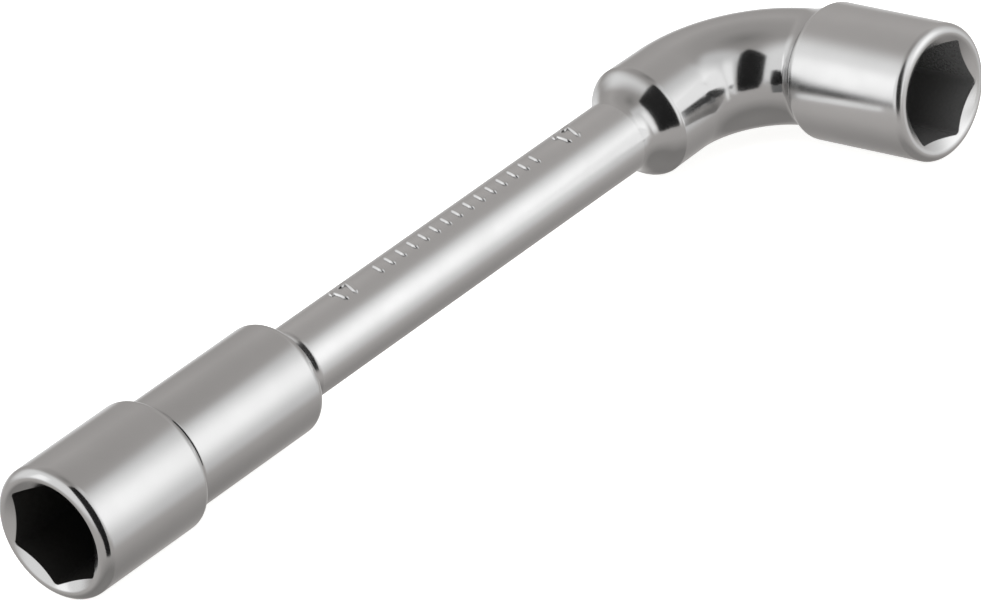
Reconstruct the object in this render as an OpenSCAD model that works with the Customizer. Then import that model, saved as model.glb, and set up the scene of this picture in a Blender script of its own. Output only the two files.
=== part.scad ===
// L-shaped socket wrench: a straight hexagon socket on a long shank and an angled one past an elbow.
// +X runs along the shank from the straight socket to the elbow, the angled socket opens towards -Y
// and +Z is up. The origin lies on the surface that the wrench rests on, under the middle of its
// outline. Sizes are in millimetres.

/* [Hexagon] */
// Nut size across the flats
hex_size = 17; // [14:1:19]
// Play round a nut, across the flats
hex_play = 0.15; // [0.05:0.05:0.4]
// How far the hexagon's corners are rounded back
corner_relief = 0.2; // [0.05:0.05:0.4]
// Turn of the straight socket's hexagon about its axis
straight_hex_turn = 9.5; // [0:0.5:60]
// Turn of the angled socket's hexagon about its axis
angled_hex_turn = 13.5; // [0:0.5:60]
// Reach of the countersink beyond the hexagon's corners
countersink_rim = 0.6; // [0.2:0.1:1]
// Included angle of the countersink
countersink_angle = 120; // [90:5:140]
// Rounding of the outer edge of both mouths
lip_r = 1.7; // [0.6:0.1:1.7]

/* [Straight socket] */
// Wall outside the hexagon's corners
straight_wall = 2.5; // [2.3:0.05:4]
// Length of the front section
straight_len = 26.5; // [22:0.5:40]
// Depth at which a nut stops
straight_hex_depth = 16; // [10:0.5:19]
// Rounding of the step behind the front section
straight_back_r = 1.7; // [0.4:0.1:2]

/* [Straight barrel] */
// Length of the sleeve behind the front section
barrel_len = 32.3; // [22:0.1:50]
// Bore for the end of a stud
stud_bore = 12.5; // [11.5:0.5:14]
// Wall round the stud bore
barrel_wall = 4.3; // [3.5:0.05:5.5]
// Wall of the spigot that seats in the front section
barrel_spigot_wall = 3; // [2:0.1:3.3]
// Rounding of the sleeve's rear edge
barrel_edge_r = 2.2; // [0.5:0.1:3]

/* [Shank] */
// Bar diameter
shank_d = 13.8; // [12:0.2:18]
// Visible length of the bar
shank_len = 91.3; // [60:0.1:160]
// Diameter of the pin in the barrel
front_pin_d = 11; // [8:0.5:11]
// Length of the pin in the barrel
front_pin_len = 14; // [8:0.5:18]
// Diameter of the pin in the elbow
rear_pin_d = 10; // [7:0.5:11]
// Length of the pin inside the elbow
rear_pin_len = 14; // [8:0.5:18]

/* [Shoulder collar] */
// Length of the concave flare
flare_len = 7.5; // [5:0.5:12]
// Diameter of the crisp rim
rim_d = 21; // [19:0.1:24]

/* [Elbow] */
// Bore from the angled socket through the heel
heel_bore = 12; // [9:0.5:13]
// Wall round the heel bore
elbow_wall = 4.4; // [3.5:0.1:6]
// Straight run between the rim and the bend
run_len = 8.5; // [6:0.5:20]
// Radius of the bend, on the bar's centre line
bend_r = 20; // [17:0.5:30]
// Wall of the spigot that seats in the angled socket
elbow_spigot_wall = 3.25; // [2:0.05:3.5]

/* [Angled socket] */
// Wall outside the hexagon's corners
angled_wall = 2.5; // [2.3:0.05:4]
// Length of the section
angled_len = 25.8; // [20:0.1:40]
// Depth at which a nut stops
angled_hex_depth = 14; // [10:0.5:17]
// Rounding of the step behind the section
angled_back_r = 1.8; // [0.4:0.1:2]

/* [Joints] */
// Clearance round every pin and spigot
joint_gap = 0.05; // [0.02:0.01:0.12]

/* [Hidden] */
$fn = 96;

// How far a cutting solid reaches past the face that it cuts
past = 1;
hex_sides = 6;

// Half widths of the hexagon and of its countersunk mouth
hex_across = hex_size + hex_play;
corner_r = hex_across / sqrt(3);
mouth_r = corner_r + countersink_rim;
countersink_depth = mouth_r / tan(countersink_angle / 2);

// Radii of the bodies
straight_r = corner_r + straight_wall;
angled_r = corner_r + angled_wall;
barrel_r = stud_bore / 2 + barrel_wall;
elbow_r = heel_bore / 2 + elbow_wall;
shank_r = shank_d / 2;
rim_r = rim_d / 2;

// The flare is an arc that leaves the bar along its surface and ends on the rim
flare_rise = rim_r - shank_r;
flare_r = (pow(flare_len, 2) + pow(flare_rise, 2)) / (2 * flare_rise);

// Spigots of the two sockets, and the seats that take them
barrel_spigot_r = stud_bore / 2 + barrel_spigot_wall;
barrel_spigot_len = straight_len - straight_hex_depth;
elbow_spigot_r = heel_bore / 2 + elbow_spigot_wall;
elbow_spigot_len = angled_len - angled_hex_depth;

// Distances along the long arm, from the straight mouth
barrel_start = straight_len;
shank_start = barrel_start + barrel_len;
collar_start = shank_start + shank_len;
elbow_start = collar_start + flare_len;
bend_start = elbow_start + run_len;

// Lengths of the arms, from each mouth to the point where the two axes cross
long_arm = bend_start + bend_r;
short_arm = angled_len + bend_r;

// The crossing point, which puts the origin under the middle of the outline
reach_x = max(angled_r, elbow_r);
reach_y = max(straight_r, barrel_r, rim_r, elbow_r);
rest_height = max(straight_r, angled_r, barrel_r, rim_r, elbow_r);
corner_x = (long_arm - reach_x) / 2;
corner_y = (short_arm - reach_y) / 2;

// The point where the axes of the two arms cross
module at_corner() {
    translate([corner_x, corner_y, rest_height])
        children();
}

// A point on the long arm, with the children's Z axis along the bar towards the elbow
module on_long_arm(distance) {
    at_corner()
        translate([distance - long_arm, 0, 0])
            rotate([0, 90, 0])
                children();
}

// A point on the short arm, with the children's Z axis from the mouth towards the elbow
module on_short_arm(distance) {
    at_corner()
        translate([0, distance - short_arm, 0])
            rotate([-90, 0, 0])
                children();
}

// Half section of a round bar with its two end edges rounded
module rounded_section(radius, length, front_r, back_r) {
    translate([0, front_r])
        square([radius, length - front_r - back_r]);
    square([radius - front_r, front_r]);
    translate([radius - front_r, front_r])
        circle(front_r);
    translate([0, length - back_r])
        square([radius - back_r, back_r]);
    translate([radius - back_r, length - back_r])
        circle(back_r);
}

// Half section of a round bar with only its far end edge rounded
module half_rounded_section(radius, length, back_r) {
    square([radius, length - back_r]);
    translate([0, length - back_r])
        square([radius - back_r, back_r]);
    translate([radius - back_r, length - back_r])
        circle(back_r);
}

// The hexagon, its rounded corners and its countersink, opening at zero height
module hex_cavity(depth, turn) {
    translate([0, 0, -past])
        linear_extrude(depth + past)
            intersection() {
                rotate(turn)
                    circle(r = corner_r, $fn = hex_sides);
                circle(r = corner_r - corner_relief);
            }
    cylinder(h = countersink_depth, r1 = mouth_r, r2 = 0);
}

// A socket section with its mouth at zero height and a seat for a spigot at its back
module socket_section(radius, length, back_r, depth, turn, seat_r) {
    difference() {
        rotate_extrude()
            rounded_section(radius, length, lip_r, back_r);
        hex_cavity(depth, turn);
        translate([0, 0, depth])
            cylinder(h = length - depth + past, r = seat_r);
    }
}

module straight_socket() {
    color("silver")
        on_long_arm(0)
            socket_section(straight_r, straight_len, straight_back_r, straight_hex_depth,
                           straight_hex_turn, barrel_spigot_r + joint_gap);
}

module straight_barrel() {
    color("gainsboro")
        on_long_arm(barrel_start)
            difference() {
                union() {
                    rotate_extrude()
                        half_rounded_section(barrel_r, barrel_len, barrel_edge_r);
                    translate([0, 0, -barrel_spigot_len])
                        cylinder(h = barrel_spigot_len + past, r = barrel_spigot_r);
                }
                translate([0, 0, -barrel_spigot_len - past])
                    cylinder(h = barrel_spigot_len + past + barrel_len - front_pin_len, d = stud_bore);
                translate([0, 0, barrel_len - front_pin_len - past])
                    cylinder(h = front_pin_len + 2 * past, r = front_pin_d / 2 + joint_gap);
            }
}

module shank() {
    color("silver")
        on_long_arm(shank_start) {
            cylinder(h = shank_len, r = shank_r);
            translate([0, 0, -front_pin_len])
                cylinder(h = front_pin_len + past, d = front_pin_d);
            translate([0, 0, shank_len - past])
                cylinder(h = past + flare_len + rear_pin_len, d = rear_pin_d);
        }
}

module shoulder_collar() {
    color("gainsboro")
        on_long_arm(collar_start)
            rotate_extrude()
                difference() {
                    pin_hole_r = rear_pin_d / 2 + joint_gap;
                    translate([pin_hole_r, 0])
                        square([rim_r - pin_hole_r, flare_len]);
                    translate([shank_r + flare_r, 0])
                        circle(flare_r);
                }
}

module elbow() {
    color("silver")
        difference() {
            union() {
                // The run is laid off from the bend, so the two share one plane exactly
                at_corner()
                    translate([-bend_r, 0, 0])
                        rotate([0, -90, 0])
                            cylinder(h = run_len, r1 = elbow_r, r2 = rim_r);
                at_corner()
                    translate([-bend_r, -bend_r, 0])
                        rotate_extrude(angle = 90)
                            translate([bend_r, 0])
                                circle(elbow_r);
                on_short_arm(angled_hex_depth)
                    cylinder(h = elbow_spigot_len + past, r = elbow_spigot_r);
            }
            on_long_arm(elbow_start - past)
                cylinder(h = rear_pin_len + past, r = rear_pin_d / 2 + joint_gap);
            on_short_arm(angled_hex_depth - past)
                cylinder(h = elbow_spigot_len + bend_r + elbow_r + 2 * past, d = heel_bore);
        }
}

module angled_socket() {
    color("gainsboro")
        on_short_arm(0)
            socket_section(angled_r, angled_len, angled_back_r, angled_hex_depth,
                           angled_hex_turn, elbow_spigot_r + joint_gap);
}

straight_socket();
straight_barrel();
shank();
shoulder_collar();
elbow();
angled_socket();
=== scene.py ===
"""Looks of an L-shaped socket wrench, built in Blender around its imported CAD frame.

The wrench is a polished forging under satin chrome: a straight head with a hexagon socket and a sleeve,
a round shank with raised marks, a flared collar, a thick elbow bored through at the heel, and an angled
head. Sizes are in millimetres here and in metres in the scene.
"""

from __future__ import annotations

import logging
import math
from dataclasses import dataclass, field, fields, replace
from enum import Enum, IntEnum

import bmesh
import bpy
from mathutils import Matrix, Vector

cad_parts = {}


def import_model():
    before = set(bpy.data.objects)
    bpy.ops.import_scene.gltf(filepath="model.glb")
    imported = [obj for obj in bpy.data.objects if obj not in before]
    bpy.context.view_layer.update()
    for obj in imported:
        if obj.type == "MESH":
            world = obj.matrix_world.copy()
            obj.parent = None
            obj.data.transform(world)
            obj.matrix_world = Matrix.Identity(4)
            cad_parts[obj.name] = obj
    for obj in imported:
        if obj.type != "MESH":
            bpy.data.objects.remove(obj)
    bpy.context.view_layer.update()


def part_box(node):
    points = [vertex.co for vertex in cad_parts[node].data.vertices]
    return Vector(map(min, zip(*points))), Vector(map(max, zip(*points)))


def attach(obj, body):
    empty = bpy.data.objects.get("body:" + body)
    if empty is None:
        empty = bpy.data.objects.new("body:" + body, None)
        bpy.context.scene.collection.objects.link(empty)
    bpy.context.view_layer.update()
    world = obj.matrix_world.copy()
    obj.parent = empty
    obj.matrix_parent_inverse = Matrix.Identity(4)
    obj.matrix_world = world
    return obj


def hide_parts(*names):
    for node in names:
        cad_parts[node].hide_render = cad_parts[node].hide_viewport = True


LOG = logging.getLogger("wrench")

MM = 0.001
BODY = "root"
SHARP_EDGE = math.radians(32)
# Points closer than the first distance are one, and a point within the second of a plane lies on it
MERGE = 0.0005
ON_PLANE = 0.01
# A face is lined where its inside flag is above this
INSIDE_LEVEL = 0.99
# Numbers of a Mix node's colour sockets, whose names its other kinds share
MIX_A = 6
MIX_B = 7
MIX_RESULT = 2


def linear(hex_colour: str) -> tuple[float, float, float, float]:
    """Turn an sRGB hex colour into the linear values that a socket takes.

    Args:
        hex_colour: six hex digits, with or without a leading hash.

    Returns:
        Linear red, green and blue, and an alpha of one.
    """
    digits = hex_colour.lstrip("#")
    srgb = [int(digits[i:i + 2], 16) / 255 for i in (0, 2, 4)]
    rgb = [c / 12.92 if c <= 0.04045 else ((c + 0.055) / 1.055) ** 2.4 for c in srgb]
    return (rgb[0], rgb[1], rgb[2], 1.0)


def grey(level: float) -> tuple[float, float, float, float]:
    """Give a neutral light of one linear level."""
    return (level, level, level, 1.0)


def add(tree: bpy.types.NodeTree, kind: str, settings: dict[str, object], inputs: dict[str | int, object],
        out: int | str = 0) -> bpy.types.NodeSocket | bpy.types.Node:
    """Add one node with its settings and links.

    Args:
        tree: the node tree that takes the node.
        kind: the node's type name.
        settings: attributes of the node.
        inputs: values or output sockets by the name or number of the input.
        out: the name or number of the output to return.

    Returns:
        The output socket, or the node itself where it has none.
    """
    node = tree.nodes.new(kind)
    for name, value in settings.items():
        setattr(node, name, value)
    for name, value in inputs.items():
        if isinstance(value, bpy.types.NodeSocket):
            tree.links.new(value, node.inputs[name])
        else:
            node.inputs[name].default_value = value
    return node.outputs[out] if node.outputs else node


class Arm(Enum):
    """The two arms of the wrench, each measured from its own mouth."""

    LONG = "long"
    SHORT = "short"


class Wall(IntEnum):
    """The two kinds of wall, numbered as a piece's material slots are."""

    OUTSIDE = 0
    LINING = 1


@dataclass(frozen=True)
class Layout:
    """Where the CAD frame puts the two axes, in millimetres.

    Attributes:
        straight_mouth: centre of the straight socket's mouth.
        angled_mouth: centre of the angled socket's mouth.
        corner: point where the two axes cross.
    """

    straight_mouth: Vector
    angled_mouth: Vector
    corner: Vector

    @classmethod
    def from_frame(cls) -> Layout:
        """Read the axes from the boxes of the CAD nodes.

        Returns:
            The layout of this wrench.
        """
        shank_low, shank_high = (Vector(c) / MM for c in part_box("shank"))
        straight_low, _ = (Vector(c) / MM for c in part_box("straight_socket"))
        angled_low, angled_high = (Vector(c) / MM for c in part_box("angled_socket"))
        axis_y = (shank_low.y + shank_high.y) / 2
        axis_z = (shank_low.z + shank_high.z) / 2
        axis_x = (angled_low.x + angled_high.x) / 2
        return cls(
            straight_mouth=Vector((straight_low.x, axis_y, axis_z)),
            angled_mouth=Vector((axis_x, angled_low.y, axis_z)),
            corner=Vector((axis_x, axis_y, axis_z)),
        )

    def place(self, arm: Arm, start: float, turn: float) -> Matrix:
        """Give the matrix that sets a turned piece on its arm.

        Args:
            arm: the arm that carries the piece.
            start: distance of the piece's zero from the arm's mouth.
            turn: angle of the piece about the arm, in degrees.

        Returns:
            A matrix from the piece's metres to the scene's.
        """
        if arm is Arm.LONG:
            origin = self.straight_mouth + Vector((start, 0, 0))
            axes = Matrix(((1, 0, 0), (0, 0, 1), (0, -1, 0)))
        else:
            origin = self.angled_mouth + Vector((0, start, 0))
            axes = Matrix(((0, 1, 0), (1, 0, 0), (0, 0, -1)))
        spin = Matrix.Rotation(math.radians(turn), 4, "X")
        return Matrix.Translation(origin * MM) @ axes.to_4x4() @ spin


@dataclass(frozen=True)
class SectionPoint:
    """One point of a turned piece's half section.

    Attributes:
        along: distance along the axis.
        radius: distance from the axis, or past the hexagon's wall where the point follows it.
        follow: one where the radius follows the hexagon.
        scallop: one where the distance follows the edge between the hexagon and its countersink.
        inside: one on the walls that a nut or a stud touches.
    """

    along: float
    radius: float
    follow: float = 0.0
    scallop: float = 0.0
    inside: float = 0.0


def arc(along: float, radius: float, size: float, first: float, last: float,
        steps: int) -> list[SectionPoint]:
    """Round an edge of a section.

    Args:
        along: distance of the arc's centre along the axis.
        radius: distance of the arc's centre from the axis.
        size: radius of the arc.
        first: first angle in degrees, with 0 outwards and 90 towards the piece's start.
        last: last angle in degrees.
        steps: number of steps.

    Returns:
        The points of the arc, both ends included.
    """
    points = []
    for i in range(steps + 1):
        angle = math.radians(first + (last - first) * i / steps)
        points.append(SectionPoint(along - size * math.sin(angle), radius + size * math.cos(angle)))
    return points


def weights(share: float) -> tuple[float, float, float]:
    """Give the weights of a curve's start, corner and end at a share of its way."""
    return (1 - share) ** 2, 2 * share * (1 - share), share ** 2


def blend(start: SectionPoint, corner: SectionPoint, end: SectionPoint, steps: int) -> list[SectionPoint]:
    """Round a corner of a section with a curve that is tangent at both of its ends.

    Args:
        start: where the curve leaves the first side.
        corner: where the two sides would meet.
        end: where the curve joins the second side.
        steps: number of steps.

    Returns:
        The points of the curve, both ends included.
    """
    points = []
    for i in range(steps + 1):
        a, b, c = weights(i / steps)
        points.append(SectionPoint(
            a * start.along + b * corner.along + c * end.along,
            a * start.radius + b * corner.radius + c * end.radius,
        ))
    return points


def swell(start: float, length: float, low: float, high: float, steps: int = 6) -> list[SectionPoint]:
    """Raise a section from one radius to a larger one in an S-shaped curve.

    Args:
        start: where the curve starts along the axis.
        length: length of the curve along the axis.
        low: radius before the curve.
        high: radius after it.
        steps: number of steps in each half.

    Returns:
        The points of the curve, both ends included.
    """
    quarter = length / 4
    first = SectionPoint(start, low)
    middle = SectionPoint(start + 2 * quarter, (low + high) / 2)
    last = SectionPoint(start + length, high)
    rising = blend(first, SectionPoint(start + quarter, low), middle, steps)
    levelling = blend(middle, SectionPoint(start + 3 * quarter, high), last, steps)
    return rising + levelling[1:]


@dataclass(frozen=True)
class Hexagon:
    """The hexagon of both sockets and its countersink.

    Attributes:
        across_flats: width across the flats.
        corner_relief: how far the corners are rounded back.
        countersink_rim: reach of the countersink beyond the corners.
        countersink_angle: included angle of the countersink in degrees.
    """

    across_flats: float = 17.15
    corner_relief: float = 0.2
    countersink_rim: float = 0.6
    countersink_angle: float = 120.0

    @property
    def flat_r(self) -> float:
        """Distance of a flat from the axis."""
        return self.across_flats / 2

    @property
    def corner_r(self) -> float:
        """Distance of a sharp corner from the axis."""
        return self.across_flats / math.sqrt(3)

    @property
    def cap_r(self) -> float:
        """Distance of a rounded corner from the axis."""
        return self.corner_r - self.corner_relief

    @property
    def mouth_r(self) -> float:
        """Radius of the countersink at the mouth."""
        return self.corner_r + self.countersink_rim

    @property
    def slope(self) -> float:
        """Depth of the countersink for each millimetre of radius."""
        return 1 / math.tan(math.radians(self.countersink_angle / 2))


class Finish:
    """A surface finish, which becomes one material however many pieces take it."""

    name: str

    def shader(self, tree: bpy.types.NodeTree) -> bpy.types.NodeSocket:
        """Add the finish's nodes and give the shader that they end in."""
        raise NotImplementedError

    def material(self) -> bpy.types.Material:
        """Make the material once.

        Returns:
            The material.
        """
        made = bpy.data.materials.get(self.name)
        if made:
            return made
        made = bpy.data.materials.new(self.name)
        made.use_nodes = True
        made.node_tree.nodes.clear()
        shader = self.shader(made.node_tree)
        add(made.node_tree, "ShaderNodeOutputMaterial", {}, {"Surface": shader})
        return made


# To the eye: a bright neutral grey that mirrors the tent with soft edges, because the belt leaves broad
# shallow waves that bend the reflections and a haze that comes and goes in patches
@dataclass(frozen=True)
class SatinChrome(Finish):
    """Chrome plate over a belt-polished forging.

    Attributes:
        name: name of the material.
        colour: colour of the clear plate.
        haze_colour: colour of the hazy plate.
        roughness: roughness of the clear plate.
        roughness_spread: how much rougher the hazy plate is.
        haze_mm: size of the hazy patches.
        ripple_mm: length of the belt's ripples.
        ripple_height: height of the ripples.
        grit_mm: size of the grit's marks.
        grit_height: depth of those marks.
    """

    name: str = "chrome_plate_satin_polished"
    colour: str = "#d1d1d1"
    haze_colour: str = "#c9c9c9"
    roughness: float = 0.12
    roughness_spread: float = 0.04
    haze_mm: float = 9.0
    ripple_mm: float = 16.0
    ripple_height: float = 0.02
    # The marks of a real belt are about 0.1 mm wide. They are drawn coarser, so that they show
    grit_mm: float = 0.35
    grit_height: float = 0.0012

    def shader(self, tree: bpy.types.NodeTree) -> bpy.types.NodeSocket:
        """Add the plate's nodes.

        Args:
            tree: the material's node tree.

        Returns:
            The shader.
        """
        place = add(tree, "ShaderNodeTexCoord", {}, {}, "Object")
        haze = add(tree, "ShaderNodeTexNoise", {}, {
            "Vector": place, "Scale": 1 / (self.haze_mm * MM), "Detail": 4.0, "Roughness": 0.55})
        tint = add(tree, "ShaderNodeMix", {"data_type": "RGBA"}, {
            "Factor": haze, MIX_A: linear(self.colour), MIX_B: linear(self.haze_colour)}, MIX_RESULT)
        rough = add(tree, "ShaderNodeMapRange", {}, {
            "Value": haze, "From Min": 0.3, "From Max": 0.7,
            "To Min": self.roughness, "To Max": self.roughness + self.roughness_spread})
        ripple = add(tree, "ShaderNodeTexNoise", {}, {
            "Vector": place, "Scale": 1 / (self.ripple_mm * MM), "Detail": 1.0})
        waves = add(tree, "ShaderNodeBump", {}, {
            "Strength": 1.0, "Distance": self.ripple_height * MM, "Height": ripple})
        grit = add(tree, "ShaderNodeTexNoise", {}, {
            "Vector": place, "Scale": 1 / (self.grit_mm * MM), "Detail": 2.0})
        grain = add(tree, "ShaderNodeBump", {}, {
            "Strength": 1.0, "Distance": self.grit_height * MM, "Height": grit, "Normal": waves})
        return add(tree, "ShaderNodeBsdfPrincipled", {}, {
            "Base Color": tint, "Metallic": 1.0, "Roughness": rough, "Normal": grain})


# To the eye: a little paler and duller than the rest, because plate over steel that is only belt-ground
# turns each reflection into a soft band
GROUND_CHROME = SatinChrome(
    "chrome_plate_satin_belt_ground", "#dadada", "#d2d2d2", roughness=0.21, roughness_spread=0.06)


# To the eye: dark grey and half dull with fine tool marks. The colour is darkened as painted shade,
# for cut walls that little light reaches
@dataclass(frozen=True)
class BroachedSteel(Finish):
    """Bare steel cut by a broach or a drill.

    Attributes:
        name: name of the material.
        colour: colour of the walls.
        mark_colour: colour of the tool marks.
        metallic: share of bare metal, with the rest a film of oil and scale.
        roughness: roughness of the walls.
        mark_mm: distance between the tool marks.
        mark_height: depth of the tool marks.
    """

    name: str = "bare_steel_broached"
    # Painted shade: a dark colour in place of the shade deep inside the sockets and bores
    colour: str = "#3a3938"
    mark_colour: str = "#2c2b29"
    metallic: float = 0.7
    roughness: float = 0.45
    # The marks of a real broach are about 0.1 mm apart. They are drawn coarser, so that they show
    mark_mm: float = 0.5
    mark_height: float = 0.01

    def shader(self, tree: bpy.types.NodeTree) -> bpy.types.NodeSocket:
        """Add the bare steel's nodes.

        Args:
            tree: the material's node tree.

        Returns:
            The shader.
        """
        place = add(tree, "ShaderNodeTexCoord", {}, {}, "Object")
        marks = add(tree, "ShaderNodeTexNoise", {}, {
            "Vector": place, "Scale": 1 / (self.mark_mm * MM), "Detail": 3.0})
        tint = add(tree, "ShaderNodeMix", {"data_type": "RGBA"}, {
            "Factor": marks, MIX_A: linear(self.colour), MIX_B: linear(self.mark_colour)}, MIX_RESULT)
        cuts = add(tree, "ShaderNodeBump", {}, {
            "Strength": 1.0, "Distance": self.mark_height * MM, "Height": marks})
        return add(tree, "ShaderNodeBsdfPrincipled", {}, {
            "Base Color": tint, "Metallic": self.metallic, "Roughness": self.roughness, "Normal": cuts})


# To the eye: mid grey with a sheen. Painted light: the broached steel painted lighter, because the tent
# lights the angled socket's walls
PAINTED_LIT_BROACH = BroachedSteel("bare_steel_broached_painted_lit", "#929292", "#7e7e7e", roughness=0.27)


# To the eye: an even white sheet without gloss, whose own glow keeps shadows faint
@dataclass(frozen=True)
class MattPaint(Finish):
    """Matt white paint, rolled on the studio's floor.

    Attributes:
        name: name of the material.
        colour: colour of the paint.
        roughness: roughness of the paint.
        glow: light that the floor gives by itself.
    """

    name: str = "studio_floor_matt_paint"
    colour: str = "#f4f4f3"
    roughness: float = 0.9
    glow: float = 0.8

    def shader(self, tree: bpy.types.NodeTree) -> bpy.types.NodeSocket:
        """Add the paint's nodes.

        Args:
            tree: the material's node tree.

        Returns:
            The shader.
        """
        return add(tree, "ShaderNodeBsdfPrincipled", {}, {
            "Base Color": linear(self.colour), "Roughness": self.roughness, "Specular IOR Level": 0.0,
            "Emission Color": linear(self.colour), "Emission Strength": self.glow})


# To the eye: one flat tone of its own glow, which is seen only as a painted reflection in the polished
# metal
@dataclass(frozen=True)
class CardBoard(Finish):
    """Card, painted in one even tone.

    Attributes:
        name: name of the material.
        brightness: light that it gives, with one for a white sheet.
        two_sided: whether it is also seen from behind.
    """

    name: str
    brightness: float
    two_sided: bool

    def shader(self, tree: bpy.types.NodeTree) -> bpy.types.NodeSocket:
        """Add the card's nodes.

        Args:
            tree: the material's node tree.

        Returns:
            The shader.
        """
        tone = add(tree, "ShaderNodeEmission", {}, {"Color": grey(self.brightness)})
        if self.two_sided:
            return tone
        clear = add(tree, "ShaderNodeBsdfTransparent", {}, {})
        behind = add(tree, "ShaderNodeNewGeometry", {}, {}, "Backfacing")
        return add(tree, "ShaderNodeMixShader", {}, {"Fac": behind, 1: tone, 2: clear})


def open_tree(name: str,
              sockets: dict[str, tuple[str, ...]]) -> tuple[bpy.types.NodeTree, bpy.types.NodeOutputs]:
    """Start a Geometry Nodes tree with named inputs.

    Args:
        name: name of the tree.
        sockets: names of the inputs by their kind.

    Returns:
        The tree and what its inputs give, by name.
    """
    tree = bpy.data.node_groups.new(name, "GeometryNodeTree")
    for kind, labels in sockets.items():
        for label in labels:
            tree.interface.new_socket(name=label, in_out="INPUT", socket_type="NodeSocket" + kind)
    tree.interface.new_socket(name="Result", in_out="OUTPUT", socket_type="NodeSocketGeometry")
    return tree, tree.nodes.new("NodeGroupInput").outputs


def run_tree(tree: bpy.types.NodeTree, name: str, source: bpy.types.Mesh,
             values: dict[str, object]) -> bpy.types.Object:
    """Run a tree on a source mesh and keep the result as a plain mesh.

    Args:
        tree: the Geometry Nodes tree.
        name: name of the new object.
        source: mesh that the tree starts from.
        values: values of the tree's inputs by name.

    Returns:
        A new object at the origin that holds the result, with only the material slots that it uses.
    """
    carrier = bpy.data.objects.new(name + "_source", source)
    bpy.context.scene.collection.objects.link(carrier)
    modifier = carrier.modifiers.new("shape", "NODES")
    modifier.node_group = tree
    sockets = {s.name: s.identifier for s in tree.interface.items_tree if s.in_out == "INPUT"}
    for label, value in values.items():
        modifier[sockets[label]] = value
    graph = bpy.context.evaluated_depsgraph_get()
    mesh = bpy.data.meshes.new_from_object(carrier.evaluated_get(graph))
    mesh.name = name
    used = {face.material_index for face in mesh.polygons}
    for index in reversed(range(len(mesh.materials))):
        if index not in used:
            mesh.materials.pop(index=index)
    carrier.modifiers.remove(modifier)
    bpy.data.objects.remove(carrier)
    bpy.data.meshes.remove(source)
    made = bpy.data.objects.new(name, mesh)
    bpy.context.scene.collection.objects.link(made)
    return made


def round_grid(tree: bpy.types.NodeTree, rows: bpy.types.NodeSocket,
               segments: bpy.types.NodeSocket) -> tuple[bpy.types.NodeSocket, ...]:
    """Add the flat grid that a skin is bent from, with its columns round an axis.

    Args:
        tree: the tree that takes the nodes.
        rows: number of rows along the skin.
        segments: number of steps round it.

    Returns:
        The grid, and fields of each point's row and of its angle round the axis.
    """
    columns = add(tree, "ShaderNodeMath", {"operation": "ADD"}, {0: segments, 1: 1.0})
    grid = add(tree, "GeometryNodeMeshGrid", {}, {"Vertices X": rows, "Vertices Y": columns})
    index = add(tree, "GeometryNodeInputIndex", {}, {})
    share = add(tree, "ShaderNodeMath", {"operation": "DIVIDE"}, {0: index, 1: columns})
    row = add(tree, "ShaderNodeMath", {"operation": "FLOOR"}, {0: share})
    column = add(tree, "ShaderNodeMath", {"operation": "MODULO"}, {0: index, 1: columns})
    step = add(tree, "ShaderNodeMath", {"operation": "DIVIDE"}, {0: 2 * math.pi, 1: segments})
    angle = add(tree, "ShaderNodeMath", {"operation": "MULTIPLY"}, {0: column, 1: step})
    return grid, row, angle


def around(tree: bpy.types.NodeTree, radius: bpy.types.NodeSocket,
           angle: bpy.types.NodeSocket) -> list[bpy.types.NodeSocket]:
    """Add the two coordinates of a point at a radius and an angle about an axis.

    Args:
        tree: the tree that takes the nodes.
        radius: distance from the axis.
        angle: angle about the axis, in radians.

    Returns:
        The coordinates along the angle of zero and along a right angle.
    """
    made = []
    for operation in ("COSINE", "SINE"):
        share = add(tree, "ShaderNodeMath", {"operation": operation}, {0: angle})
        made.append(add(tree, "ShaderNodeMath", {"operation": "MULTIPLY"}, {0: radius, 1: share}))
    return made


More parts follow.
